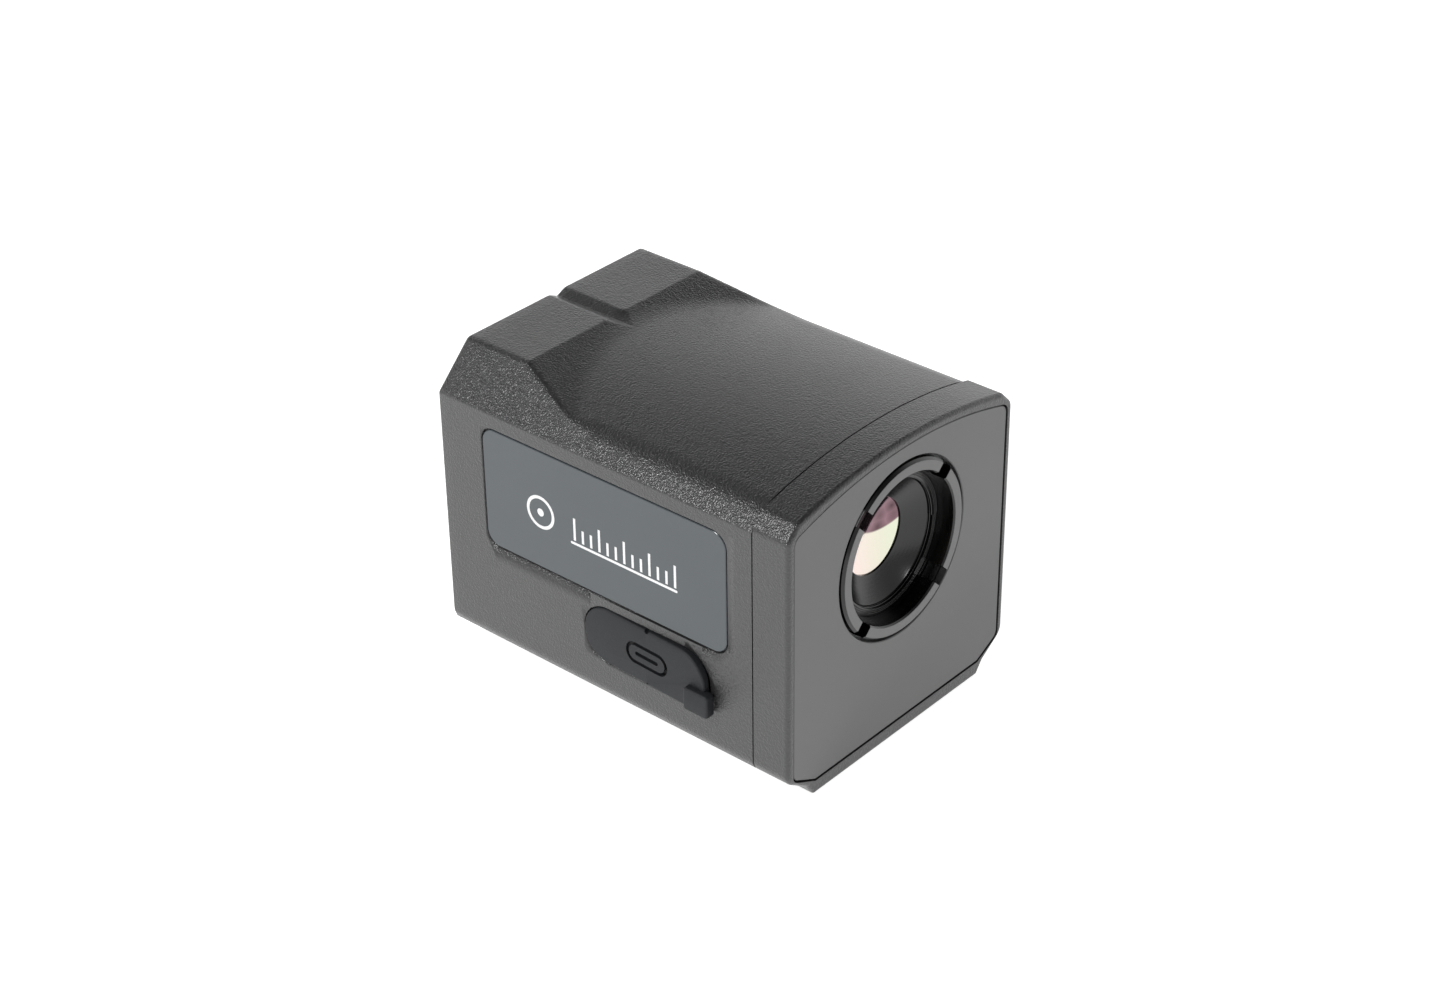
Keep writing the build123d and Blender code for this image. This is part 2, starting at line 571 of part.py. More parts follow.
# ---------------------------------------------------------------- detector
# Vacuum package with its germanium window, on the sensor board.
PACKAGE = (8.5, 7.5, 2.9)   # half width, half height, depth
POCKET = (6.0, 5.0, 1.7)
package_y = SENSOR_BOARD_Y - PACKAGE[2]
with BuildPart() as detector_package:
    block((-PACKAGE[0], package_y, LENS_Z - PACKAGE[1]), (PACKAGE[0], SENSOR_BOARD_Y, LENS_Z + PACKAGE[1]))
    block((-POCKET[0], package_y, LENS_Z - POCKET[1]), (POCKET[0], package_y + POCKET[2], LENS_Z + POCKET[1]),
          mode=Mode.SUBTRACT)
finish(detector_package, "detector_package")

with BuildPart() as detector_chip:
    block((-5.0, package_y + POCKET[2] - 0.5, LENS_Z - 4.2), (5.0, package_y + POCKET[2], LENS_Z + 4.2))
finish(detector_chip, "detector_chip")

with BuildPart() as detector_window:
    block((-7.0, package_y - 0.6, LENS_Z - 6.0), (7.0, package_y, LENS_Z + 6.0))
finish(detector_window, "detector_window")

# ---------------------------------------------------------------- upright boards
for name, board_y in (("sensor_board", SENSOR_BOARD_Y), ("processor_board", PROCESSOR_BOARD_Y)):
    with BuildPart() as board:
        core_plate(board_y, BOARD)
    finish(board, name)

with BuildPart() as board_connector:
    block((-7, SENSOR_BOARD_Y + BOARD, 20.5), (7, PROCESSOR_BOARD_Y, 24.0))
finish(board_connector, "board_connector")

CHIP_Y = PROCESSOR_BOARD_Y + BOARD
CHIP_HALF = 6.5
CHIP_THICK = 1.4
CHIP_LOW_Z = 25.0
CHIP_HIGH_Z = CHIP_LOW_Z + 2 * CHIP_HALF
PAD_Y = CHIP_Y + CHIP_THICK
with BuildPart() as processor_chip:
    block((-CHIP_HALF, CHIP_Y, CHIP_LOW_Z), (CHIP_HALF, PAD_Y, CHIP_HIGH_Z))
finish(processor_chip, "processor_chip")

with BuildPart() as thermal_pad:
    block((-CHIP_HALF, PAD_Y, CHIP_LOW_Z), (CHIP_HALF, SPREADER_Y, CHIP_HIGH_Z))
finish(thermal_pad, "thermal_pad")

# ---------------------------------------------------------------- heat spreader
# Aluminium sheet that takes the processor's heat to the ribs on the side walls.
with BuildPart() as heat_spreader:
    with BuildSketch(across(SPREADER_Y)):
        Polygon((-21.6, 18), (21.6, 18), (21.6, 36), (16, 43.5), (-16, 43.5), (-21.6, 36), align=None)
        with Locations(*SPREADER_SCREWS):
            Circle(0.9, mode=Mode.SUBTRACT)
    extrude(amount=-SPREADER_THICK)
    chamfer(heat_spreader.edges().filter_by(Axis.Y), 0.5)
finish(heat_spreader, "heat_spreader")

with BuildPart() as spreader_screws:
    for x, z in SPREADER_SCREWS:
        rod(x, z, SPREADER_Y - 1.2, SPREADER_Y, 1.5)
        rod(x, z, SPREADER_Y, SPREADER_Y + SPREADER_THICK + 5, SCREW_R)
finish(spreader_screws, "spreader_screws")

# ---------------------------------------------------------------- lower board
# Carries the USB-C receptacle behind the left wall and the power parts.
with BuildPart() as interface_board:
    block((-20.8, -21.5, LOW_BOARD_Z), (17.5, 22.0, LOW_BOARD_TOP))
    fillet(interface_board.edges().filter_by(Axis.Z), 1.0)
    for x, y in LOW_SCREWS:
        upright(x, y, LOW_BOARD_Z, LOW_BOARD_TOP, SCREW_HOLE_R, mode=Mode.SUBTRACT)
finish(interface_board, "interface_board")

with BuildPart() as interface_screws:
    for x, y in LOW_SCREWS:
        upright(x, y, LOW_BOARD_TOP, LOW_BOARD_TOP + 1.2, 1.8)
        upright(x, y, LOW_BOARD_Z - 4, LOW_BOARD_TOP, SCREW_R)
finish(interface_screws, "interface_screws")

with BuildPart() as power_inductors:
    for y in (-10.0, 0.0, 10.0):
        block((9, y - 3, LOW_BOARD_TOP), (15, y + 3, LOW_BOARD_TOP + 2.8))
    fillet(power_inductors.edges().filter_by(Axis.Z), 1.0)
finish(power_inductors, "power_inductors")

# ---------------------------------------------------------------- flex cable
# Flat cable from the processor board, under the heat spreader, to the lower board.
FLEX = 0.3
flex_top = (CHIP_Y + 0.5, 18.2)
flex_end = (6.0, LOW_BOARD_TOP + 0.5)
with BuildPart() as flex_connectors:
    block((-7, CHIP_Y, 18.2), (7, CHIP_Y + 1.0, 20.4))
    block((-7, flex_end[0], LOW_BOARD_TOP), (7, flex_end[0] + 2.4, LOW_BOARD_TOP + 1.0))
finish(flex_connectors, "flex_connectors")

with BuildPart() as flex_cable:
    with BuildSketch(Plane.YZ) as strip:
        with BuildLine():
            route = FilletPolyline(flex_top, (flex_top[0], 15.4), (1.6, 15.4), (3.4, flex_end[1]), flex_end,
                                   radius=0.9)
        trace(route, line_width=FLEX)
    extrude(strip.sketch, amount=6, both=True)
finish(flex_cable, "flex_cable")

# ---------------------------------------------------------------- USB-C receptacle
SHELL_FRONT_X = -22.3
SHELL_DEPTH = 7.3
MOUTH_DEPTH = 6.5
SHELL_HALF = (4.47, 1.63)
MOUTH_HALF = (4.17, 1.28)
TONGUE_HALF = (3.35, 0.35)
mouth_x = SHELL_FRONT_X + MOUTH_DEPTH
with BuildPart() as usb_receptacle:
    add(side_slot(SHELL_FRONT_X + SHELL_DEPTH, SHELL_DEPTH, PORT_Y - SHELL_HALF[0], PORT_Y + SHELL_HALF[0],
                  SHELL_HALF[1]))
    add(side_slot(mouth_x, MOUTH_DEPTH, PORT_Y - MOUTH_HALF[0], PORT_Y + MOUTH_HALF[0], MOUTH_HALF[1]),
        mode=Mode.SUBTRACT)
finish(usb_receptacle, "usb_receptacle")

with BuildPart() as usb_tongue:
    block((SHELL_FRONT_X + 0.9, PORT_Y - TONGUE_HALF[0], PORT_Z - TONGUE_HALF[1]),
          (mouth_x, PORT_Y + TONGUE_HALF[0], PORT_Z + TONGUE_HALF[1]))
finish(usb_tongue, "usb_tongue")

# ---------------------------------------------------------------- side panel
PANEL_TAPE = 0.15
PANEL_THICK = 0.6
for name, floor_x, thick, inset, corner in (
    ("side_panel_tape", PANEL_FLOOR_X, PANEL_TAPE, 1.0, 1.5),
    ("side_panel", PANEL_FLOOR_X - PANEL_TAPE, PANEL_THICK, 0.0, 2.3),
):
    with BuildPart() as layer:
        with BuildSketch(Plane.YZ.offset(floor_x)):
            with Locations(((y0 + y1) / 2, (z0 + z1) / 2)):
                RectangleRounded(y1 - y0 - 2 * inset, z1 - z0 - 2 * inset, corner)
        extrude(amount=-thick)
        if name == "side_panel":
            chamfer(layer.edges().group_by(Axis.X)[0], 0.1)
    finish(layer, name)

# ---------------------------------------------------------------- rubber port cover
# One moulding that bends at the flex line: the rear half is held by a barbed stem through the
# wall, the front half closes the port with a plug and has a raised pull tab.
FLEX_GAP = 0.15
with BuildPart() as port_cover_anchor:
    add(side_slot(COVER_FLOOR_X, 1.15, COVER_NOSE_Y, COVER_REAR_Y, COVER_HALF))
    fillet(port_cover_anchor.edges().group_by(Axis.X)[0], 0.3)
    block((-30, -30, 5), (-20, HINGE_Y + FLEX_GAP, 25), mode=Mode.SUBTRACT)
    with Locations(Location((-22.6, STEM_Y, PORT_Z), (0, 90, 0))):
        Cylinder(STEM_R, 1.8)
    with Locations(Location((-21.6, STEM_Y, PORT_Z), (0, 90, 0))):
        Cone(2.2, 1.2, 1.0)
finish(port_cover_anchor, "port_cover_anchor")

COVER_LIFT = 0.9        # how far the nose stands out further than the flex line
nose_y = COVER_NOSE_Y - COVER_HALF
with BuildPart() as port_cover_flap:
    add(side_slot(COVER_FLOOR_X + 1, 5, nose_y, COVER_REAR_Y, COVER_HALF))
    with BuildSketch(Plane.XY):
        with BuildLine():
            Polyline(
                (-23.5, HINGE_Y - FLEX_GAP), (-24.6, HINGE_Y - FLEX_GAP), (-24.7 - COVER_LIFT, nose_y),
                (-23.5 - COVER_LIFT, nose_y), (-23.5, HINGE_Y - 5), close=True,
            )
        make_face()
    extrude(amount=30, mode=Mode.INTERSECT)
    fillet(port_cover_flap.edges().group_by(Axis.X)[0], 0.2)
    # Plug in the port hole.
    add(side_slot(-22.9, 0.9, PORT_Y - 4.7, PORT_Y + 4.7, 2.0))
    # Pull tab.
    block((-26.4, nose_y - 1.2, 10.8), (-24.75, nose_y + 3.2, 14.5))
    fillet(port_cover_flap.edges().group_by(Axis.X)[0], 0.3)
finish(port_cover_flap, "port_cover_flap")
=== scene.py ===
import math

import bmesh
import bpy
from mathutils import Matrix, Vector


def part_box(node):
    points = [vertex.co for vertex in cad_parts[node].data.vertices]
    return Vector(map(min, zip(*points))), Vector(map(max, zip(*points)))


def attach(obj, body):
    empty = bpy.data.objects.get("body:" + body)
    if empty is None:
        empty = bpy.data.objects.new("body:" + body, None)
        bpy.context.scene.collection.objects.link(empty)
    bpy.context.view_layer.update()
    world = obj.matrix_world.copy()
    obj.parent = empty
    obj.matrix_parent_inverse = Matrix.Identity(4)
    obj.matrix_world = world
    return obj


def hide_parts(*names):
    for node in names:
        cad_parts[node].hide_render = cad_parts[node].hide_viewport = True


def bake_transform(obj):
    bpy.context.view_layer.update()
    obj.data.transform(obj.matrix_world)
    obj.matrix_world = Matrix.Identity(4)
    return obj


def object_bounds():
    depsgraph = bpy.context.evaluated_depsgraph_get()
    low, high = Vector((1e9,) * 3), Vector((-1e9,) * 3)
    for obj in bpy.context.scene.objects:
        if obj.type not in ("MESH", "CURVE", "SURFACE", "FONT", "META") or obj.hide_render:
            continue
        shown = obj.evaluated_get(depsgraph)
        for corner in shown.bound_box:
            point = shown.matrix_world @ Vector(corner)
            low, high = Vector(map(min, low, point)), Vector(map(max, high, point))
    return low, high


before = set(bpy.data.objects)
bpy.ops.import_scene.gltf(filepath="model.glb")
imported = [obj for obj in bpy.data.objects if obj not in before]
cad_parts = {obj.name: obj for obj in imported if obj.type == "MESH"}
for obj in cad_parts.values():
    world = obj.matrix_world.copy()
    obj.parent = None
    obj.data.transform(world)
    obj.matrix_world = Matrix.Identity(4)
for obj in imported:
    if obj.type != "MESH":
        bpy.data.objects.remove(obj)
cad_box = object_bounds()
scene = bpy.context.scene
scene.view_settings.view_transform = "Standard"
MM = 0.001

# ------------------------------------------------------------------ camera
# A 71 mm lens on a 36 mm wide sensor, 0.4 m from the object, 31 degrees above the level and off
# its front left corner.
TURN = math.radians(-48.911)
RAISE = math.radians(31.108)
LEAN = math.radians(-0.601)
AIM = Vector((-67.404, -59.817, 85.189)) * MM
DISTANCE = 302.421 * MM
back = Vector((
    math.sin(TURN) * math.cos(RAISE), -math.cos(TURN) * math.cos(RAISE), math.sin(RAISE)))
level = Vector((math.cos(TURN), math.sin(TURN), 0))
right = math.cos(LEAN) * level + math.sin(LEAN) * back.cross(level)
camera_data = bpy.data.cameras.new("camera")
camera_data.sensor_width = 36
camera_data.lens = 71.38
camera_data.shift_x = -0.00616
camera_data.shift_y = -0.0192
camera_data.clip_start = 0.01
camera = bpy.data.objects.new("camera", camera_data)
scene.collection.objects.link(camera)
turned = Matrix((right, back.cross(right), back)).transposed().to_4x4()
camera.matrix_world = Matrix.Translation(AIM + back * DISTANCE) @ turned
scene.camera = camera

# ------------------------------------------------------------------ studio
# A glowing white table in a room whose walls are lit up to about 35 degrees above the level,
# brightest behind the object on the right, under a dark ceiling. A small lamp on the left makes
# the coat's edges sparkle, and a weaker one stands in front.


def linear(hex_colour):
    """sRGB hex to linear RGBA."""
    channels = [int(hex_colour[i:i + 2], 16) / 255 for i in (1, 3, 5)]
    return [c / 12.92 if c <= 0.04045 else ((c + 0.055) / 1.055) ** 2.4 for c in channels] + [1.0]


def node(tree, kind, inputs=None, **settings):
    """Adds a node with its settings; an input is a value or the socket that feeds it."""
    made = tree.nodes.new(kind)
    for name, value in settings.items():
        setattr(made, name, value)
    for socket, value in (inputs or {}).items():
        if isinstance(value, bpy.types.NodeSocket):
            tree.links.new(value, made.inputs[socket])
        else:
            made.inputs[socket].default_value = value
    return made


def new_material(name, **inputs):
    """A material with its tree and principled shader; an input is named with _ for a space."""
    made = bpy.data.materials.new(name)
    made.use_nodes = True
    tree = made.node_tree
    tree.nodes.clear()
    values = {key.replace("_", " "): value for key, value in inputs.items()}
    shader = node(tree, "ShaderNodeBsdfPrincipled", values)
    node(tree, "ShaderNodeOutputMaterial", {"Surface": shader.outputs[0]})
    return made, tree, shader


# Opal acrylic table, lit from below, so that nothing casts a hard shadow on it.
opal, tree, shader = new_material("opal_acrylic_table", Roughness=0.6)
shader.inputs["Base Color"].default_value = linear("#f2f2f2")
shader.inputs["Emission Color"].default_value = linear("#ffffff")
shader.inputs["Emission Strength"].default_value = 0.86
TABLE_HALF = 1.5
table_corners = [(x * TABLE_HALF, y * TABLE_HALF, cad_box[0].z)
                 for x, y in ((-1, -1), (1, -1), (1, 1), (-1, 1))]
mesh = bpy.data.meshes.new("table")
mesh.from_pydata(table_corners, [], [range(4)])
mesh.materials.append(opal)
table = bpy.data.objects.new("table", mesh)
scene.collection.objects.link(table)

ROOM_LIT = 1.3                  # radiance of the lit walls behind the object
ROOM_DIM = 0.02                 # and of the ceiling
WALL_FRONT = 0.45               # share of it on the walls in front
WALL_FADE = (0.46, 0.68)        # sine of the height over which the walls fade to the ceiling
FRONT_TO_BACK = (-0.4, 0.9)     # x + y of the directions that count as in front and behind
world = bpy.data.worlds.new("studio")
world.use_nodes = True
scene.world = world
tree = world.node_tree
direction = node(tree, "ShaderNodeTexCoord").outputs["Generated"]
split = node(tree, "ShaderNodeSeparateXYZ", {0: direction})
wall = node(tree, "ShaderNodeMapRange", {
    "Value": split.outputs["Z"], "From Min": WALL_FADE[0], "From Max": WALL_FADE[1],
    "To Min": 1.0, "To Max": 0.0}, interpolation_type="SMOOTHSTEP")
toward = node(tree, "ShaderNodeMath", {
    0: split.outputs["X"], 1: split.outputs["Y"]}, operation="ADD")
side = node(tree, "ShaderNodeMapRange", {
    "Value": toward.outputs[0], "From Min": FRONT_TO_BACK[0], "From Max": FRONT_TO_BACK[1],
    "To Min": WALL_FRONT, "To Max": 1.0}, interpolation_type="SMOOTHSTEP")
lit = node(tree, "ShaderNodeMath", {0: wall.outputs[0], 1: side.outputs[0]}, operation="MULTIPLY")
strength = node(tree, "ShaderNodeMapRange", {
    "Value": lit.outputs[0], "To Min": ROOM_DIM, "To Max": ROOM_LIT})
tree.links.new(strength.outputs[0], tree.nodes["Background"].inputs["Strength"])
tree.nodes["Background"].inputs["Color"].default_value = linear("#ffffff")

LAMP_AIM = Vector((0, 0, 0.03))
LAMPS = (   # name, place, width in metres, watts
    ("key_lamp", (-0.40, 0.10, 0.40), 0.09, 1.7),
    ("front_lamp", (0.05, -0.50, 0.20), 0.06, 0.12),
)
for name, spot, width, watts in LAMPS:
    data = bpy.data.lights.new(name, "AREA")
    data.shape = "DISK"
    data.size = width
    data.energy = watts
    lamp = bpy.data.objects.new(name, data)
    lamp.location = spot
    lamp.rotation_euler = (Vector(spot) - LAMP_AIM).to_track_quat("Z", "Y").to_euler()
    scene.collection.objects.link(lamp)

# ------------------------------------------------------------------ main housing
# Cast aluminium cup with a textured powder coat: arched roof, 45 degree corners, and behind a
# raised flat top with a soft slope in front and a V groove. The room inside is as cast, taken
# from the frame's own part.
HALF_WIDTH = 24.4
CROWN = 48.3
ROOF_R = 90.0
TOP = 49.1
CORNER_SUM = 67.2               # x + z on the 45 degree corners
BASE_HALF, STEP, FOOT = 18.6, (20.0, 1.9), (24.4, 4.8)
SLOPE_TOP_Y = 20.6
SLOPE_RISE = math.tan(math.radians(17.0))
GROOVE_FLOOR = 48.32
GROOVE_HALF = 1.7
GROOVE_FRONT = 16.5             # in front of this the slope lies below the groove's floor
GROOVE_SPREAD = 1.3             # how much wider it is where it runs out of the slope
SPREAD_Y = (18.0, 21.8)
SEAM_Y = -25.6
REAR_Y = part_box("main_housing")[1].y / MM
REAR_ROUND = 0.5
WALL = 2.2
HUB_Z = 26.0                    # the cross-sections are seen from this height on the centre line
# How far from an edge the two faces begin to round into each other.
STEP_SOFT, BASE_SOFT, LOWER_SOFT, WALL_SOFT = 0.8, 0.5, 1.3, 0.16
SLOPE_SOFT, ROOF_SOFT, GROOVE_SOFT = 0.06, 0.7, 0.12
CORNER_SOFT, CORNER_SOFTER = 0.34, 0.8      # at the rear, and how much more in front
CORNER_FADE_Y, GROOVE_FADE_Y = (3.0, 9.0), (16.8, 18.2)


def soft_min(a, b, reach):
    near = max(reach - abs(a - b), 0.0) / reach if reach > 0 else 0.0
    return min(a, b) - near * near * reach / 4


def soft_max(a, b, reach):
    return -soft_min(-a, -b, reach)


def smooth_step(x, low, high):
    t = min(max((x - low) / (high - low), 0.0), 1.0)
    return t * t * (3 - 2 * t)


def to_line(direction, start, end, inset=0.0):
    """Distance from the hub along a direction to the line through two points, moved in."""
    run, rise = end[0] - start[0], end[1] - start[1]
    length = math.hypot(run, rise)
    normal = (rise / length, -run / length)
    along = direction[0] * normal[0] + direction[1] * normal[1]
    gap = normal[0] * start[0] + normal[1] * (start[1] - HUB_Z) - inset
    return gap / along if along > 1e-6 else 200.0


def to_arch(direction, inset):
    """Distance from the hub to the roof's arc."""
    depth = HUB_Z - CROWN + ROOF_R
    half_b = depth * direction[1]
    return -half_b + math.sqrt(half_b**2 - depth**2 + (ROOF_R - inset) ** 2)


def housing_reach(angle, y, inset=0.0):
    """Distance from the hub to the outside skin at an angle from +X, at station y."""
    direction = (abs(math.cos(angle)), math.sin(angle))
    wall = to_line(direction, (HALF_WIDTH, 0), (HALF_WIDTH, 1), inset)
    if direction[1] < 0:
        base = to_line(direction, (0, 0), (1, 0), inset)
        lower = to_line(direction, (BASE_HALF, 0), STEP, inset)
        upper = to_line(direction, STEP, FOOT, inset)
        under = soft_min(soft_max(lower, upper, STEP_SOFT), base, BASE_SOFT)
        return soft_min(under, wall, LOWER_SOFT)
    flat = to_line(direction, (1, TOP), (0, TOP), inset)
    slope_z = TOP - max(SLOPE_TOP_Y - y, 0.0) * SLOPE_RISE
    slope = to_line(direction, (1, slope_z), (0, slope_z), inset)
    raised = soft_min(flat, slope, SLOPE_SOFT)
    top = soft_max(to_arch(direction, inset), raised, ROOF_SOFT)
    corner = to_line(direction, (CORNER_SUM, 0), (0, CORNER_SUM), inset)
    in_front = 1 - smooth_step(y, *CORNER_FADE_Y)
    top = soft_min(top, corner, CORNER_SOFT + CORNER_SOFTER * in_front)
    if y > GROOVE_FRONT:
        # The groove's sides lean back where it runs out of the slope.
        half = GROOVE_HALF + GROOVE_SPREAD * (1 - smooth_step(y, *SPREAD_Y))
        groove = to_line(direction, (half, TOP), (0, GROOVE_FLOOR), inset)
        top = soft_min(top, groove, GROOVE_SOFT * smooth_step(y, *GROOVE_FADE_Y))
    return soft_min(top, wall, WALL_SOFT)


def spaced(low, high, step):
    count = max(1, round((high - low) / step))
    return [low + (high - low) * i / count for i in range(count)]


# Angles from straight down, round the right side, to straight up, and stations from the seam to
# the rear, as runs of (start, end, step). Corners, slope and groove get more of them.
ANGLE_RUNS = (
    (-90, -57, 3.0), (-57, -48, 0.75), (-48, -40, 1.5), (-40, -33, 0.7), (-33, 31, 8.0),
    (31, 36, 0.25), (36, 48, 0.5), (48, 58, 0.8), (58, 82, 1.0), (82, 90, 0.4),
)
STATION_RUNS = (
    (SEAM_Y, -2.0, 3.0), (-2.0, 16.0, 0.5), (16.0, 22.4, 0.2), (22.4, REAR_Y - REAR_ROUND, 1.9),
)
half_turn = [math.radians(a) for run in ANGLE_RUNS for a in spaced(*run)]
angles = half_turn + [math.pi / 2] + [math.pi - a for a in reversed(half_turn[1:])]
rings = [(y, 0.0) for run in STATION_RUNS for y in spaced(*run)]
ROUND_STEPS = 5
for i in range(ROUND_STEPS + 1):
    lean = math.pi / 2 * i / ROUND_STEPS
    rings.append((REAR_Y - REAR_ROUND * (1 - math.sin(lean)), REAR_ROUND * (1 - math.cos(lean))))


def to_object(solid, name):
    """Finishes a bmesh as an object, its normals turned outwards."""
    bmesh.ops.recalc_face_normals(solid, faces=solid.faces)
    mesh = bpy.data.meshes.new(name)
    solid.to_mesh(mesh)
    solid.free()
    made = bpy.data.objects.new(name, mesh)
    scene.collection.objects.link(made)
    return made


def skin(loops, name):
    """A closed solid through loops of points, given in millimetres."""
    solid = bmesh.new()
    loops = [[solid.verts.new(Vector(point) * MM) for point in loop] for loop in loops]
    for near, far in zip(loops, loops[1:]):
        for i in range(len(near)):
            j = (i + 1) % len(near)
            solid.faces.new((near[i], near[j], far[j], far[i]))
    solid.faces.new(loops[0][::-1])
    solid.faces.new(loops[-1])
    return to_object(solid, name)


def loft(rings, reach_at):
    """Loops of skin points at (y, inset) rings."""
    loops = []
    for y, inset in rings:
        reaches = [(angle, reach_at(angle, y, inset)) for angle in angles]
        loops.append([(r * math.cos(a), y, HUB_Z + r * math.sin(a)) for a, r in reaches])
    return loops


def rounded_box(y0, z0, y1, z1, radius, steps=10):
    """(y, z) points round a rectangle with round corners."""
    points = []
    for cy, cz, start in ((y1 - radius, z1 - radius, 0), (y0 + radius, z1 - radius, 90),
                          (y0 + radius, z0 + radius, 180), (y1 - radius, z0 + radius, 270)):
        for i in range(steps + 1):
            a = math.radians(start + 90 * i / steps)
            points.append((cy + radius * math.cos(a), cz + radius * math.sin(a)))
    return points


def slab(outline, low_x, high_x, name):
    """A prism along X over (y, z) points."""
    return skin([[(x, y, z) for y, z in outline] for x in (low_x, high_x)], name)


def cut(target, tool, operation="DIFFERENCE"):
    """Applies an exact boolean and removes the tool."""
    modifier = target.modifiers.new("cut", "BOOLEAN")
    modifier.operation = operation
    modifier.solver = "EXACT"
    modifier.object = tool
    bpy.context.view_layer.update()
    evaluated = target.evaluated_get(bpy.context.evaluated_depsgraph_get())
    result = bpy.data.meshes.new_from_object(evaluated)
    target.modifiers.clear()
    target.data = result
    bpy.data.objects.remove(tool)


def smooth(piece, degrees=30):
    piece.data.shade_smooth()
    piece.data.set_sharp_from_angle(angle=math.radians(degrees))


def wear(piece, material):
    """Gives every face of a piece that booleans have cut one material."""
    piece.data.materials.clear()
    piece.data.materials.append(material)
    for polygon in piece.data.polygons:
        polygon.material_index = 0


def core_reach(angle, y, inset):
    """The skin's smaller reach, in front and behind, so that the core fits inside all along."""
    return min(housing_reach(angle, SEAM_Y, inset), housing_reach(angle, REAR_Y - 5, inset))


housing = skin(loft(rings, housing_reach), "housing_shell")
# The room inside is a block that reaches into the walls, less the casting.
BITE = 0.9
core_stations = (SEAM_Y - 3, -10, 5, 18, REAR_Y - WALL + BITE)
room = skin(loft([(y, WALL - BITE) for y in core_stations], core_reach), "room")
casting = bpy.data.objects.new("casting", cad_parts["main_housing"].data.copy())
scene.collection.objects.link(casting)
merged = bmesh.new()
merged.from_mesh(casting.data)
bmesh.ops.remove_doubles(merged, verts=merged.verts, dist=2e-7)
merged.to_mesh(casting.data)
merged.free()
cut(room, casting)
cut(housing, room)

OUTSIDE_X = -26                 # cutting tools start here, outside the left wall
PANEL_LOW, PANEL_HIGH = [Vector(v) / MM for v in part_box("side_panel")]
SEAT_GAP, SEAT_ROUND, SEAT_DEEPER = 0.3, 2.6, 0.15
panel_seat = rounded_box(PANEL_LOW.y - SEAT_GAP, PANEL_LOW.z - SEAT_GAP,
                         PANEL_HIGH.y + SEAT_GAP, PANEL_HIGH.z + SEAT_GAP, SEAT_ROUND)
cut(housing, slab(panel_seat, OUTSIDE_X, PANEL_HIGH.x + SEAT_DEEPER, "panel_seat"))
COVER_Z = 14.85
COVER_NOSE, COVER_REAR, COVER_HALF = -17.95, 5.3, 4.55
COVER_GAP = 0.2
for low_y, high_y, half, floor_x in (
    (COVER_NOSE - COVER_GAP, COVER_REAR + COVER_GAP, COVER_HALF + COVER_GAP, -23.4),    # seat
    (-17.5, -7.3, 2.3, -21.5),                                                          # port
    (-0.75, 2.25, 1.5, -21.5),                                                          # stem
):
    outline = rounded_box(low_y, COVER_Z - half, high_y, COVER_Z + half, half - 0.01, 14)
    cut(housing, slab(outline, OUTSIDE_X, floor_x, "pocket"))
smooth(housing)


# Textured polyester powder coat over the casting: dark grey and satin. Orange-peel grains a
# quarter of a millimetre wide sparkle where the coat turns towards a lamp.
coat, tree, shader = new_material("powder_coated_aluminium", IOR=1.6)
COAT_GRAIN, COAT_RELIEF = 0.17 * MM, 0.13 * MM
COARSE_SHARE = 0.35
place = node(tree, "ShaderNodeTexCoord").outputs["Object"]
fine = node(tree, "ShaderNodeTexNoise", {
    "Vector": place, "Scale": 1 / (1.5 * COAT_GRAIN), "Detail": 1.0})
coarse = node(tree, "ShaderNodeTexNoise", {
    "Vector": place, "Scale": 1 / (3.5 * COAT_GRAIN), "Detail": 1.0})
grain = node(tree, "ShaderNodeMath", {
    0: coarse.outputs["Fac"], 1: COARSE_SHARE, 2: fine.outputs["Fac"]}, operation="MULTIPLY_ADD")
relief = node(tree, "ShaderNodeBump", {
    "Strength": 0.8, "Distance": COAT_RELIEF, "Height": grain.outputs[0]})
tone = node(tree, "ShaderNodeMix", {
    "Factor": fine.outputs["Fac"], 6: linear("#29292a"), 7: linear("#3a3a3a")}, data_type="RGBA")
cloud = node(tree, "ShaderNodeTexNoise", {"Vector": place, "Scale": 1 / (9 * MM), "Detail": 3.0})
gloss = node(tree, "ShaderNodeMapRange", {
    "Value": cloud.outputs["Fac"], "To Min": 0.25, "To Max": 0.33})
tree.links.new(tone.outputs[2], shader.inputs["Base Color"])
tree.links.new(gloss.outputs[0], shader.inputs["Roughness"])
tree.links.new(relief.outputs[0], shader.inputs["Normal"])

wear(housing, coat)
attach(housing, "camera_body")
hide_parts("main_housing")


def mottled(name, low, high, grain, relief, gloss, **inputs):
    """A material with noise of one grain size, in mm, in its colour, relief and gloss range."""
    made, tree, shader = new_material(name, **inputs)
    place = node(tree, "ShaderNodeTexCoord").outputs["Object"]
    grains = node(tree, "ShaderNodeTexNoise", {
        "Vector": place, "Scale": 1 / (1.6 * grain * MM), "Detail": 3.0})
    tone = node(tree, "ShaderNodeMix", {
        "Factor": grains.outputs["Fac"], 6: linear(low), 7: linear(high)}, data_type="RGBA")
    fine = node(tree, "ShaderNodeTexNoise", {
        "Vector": place, "Scale": 1 / (0.25 * MM), "Detail": 1.0})
    bumps = node(tree, "ShaderNodeBump", {
        "Strength": 0.6, "Distance": relief * MM, "Height": fine.outputs["Fac"]})
    shine = node(tree, "ShaderNodeMapRange", {
        "Value": grains.outputs["Fac"], "To Min": gloss[0], "To Max": gloss[1]})
    tree.links.new(tone.outputs[2], shader.inputs["Base Color"])
    tree.links.new(shine.outputs[0], shader.inputs["Roughness"])
    tree.links.new(bumps.outputs[0], shader.inputs["Normal"])
    return made


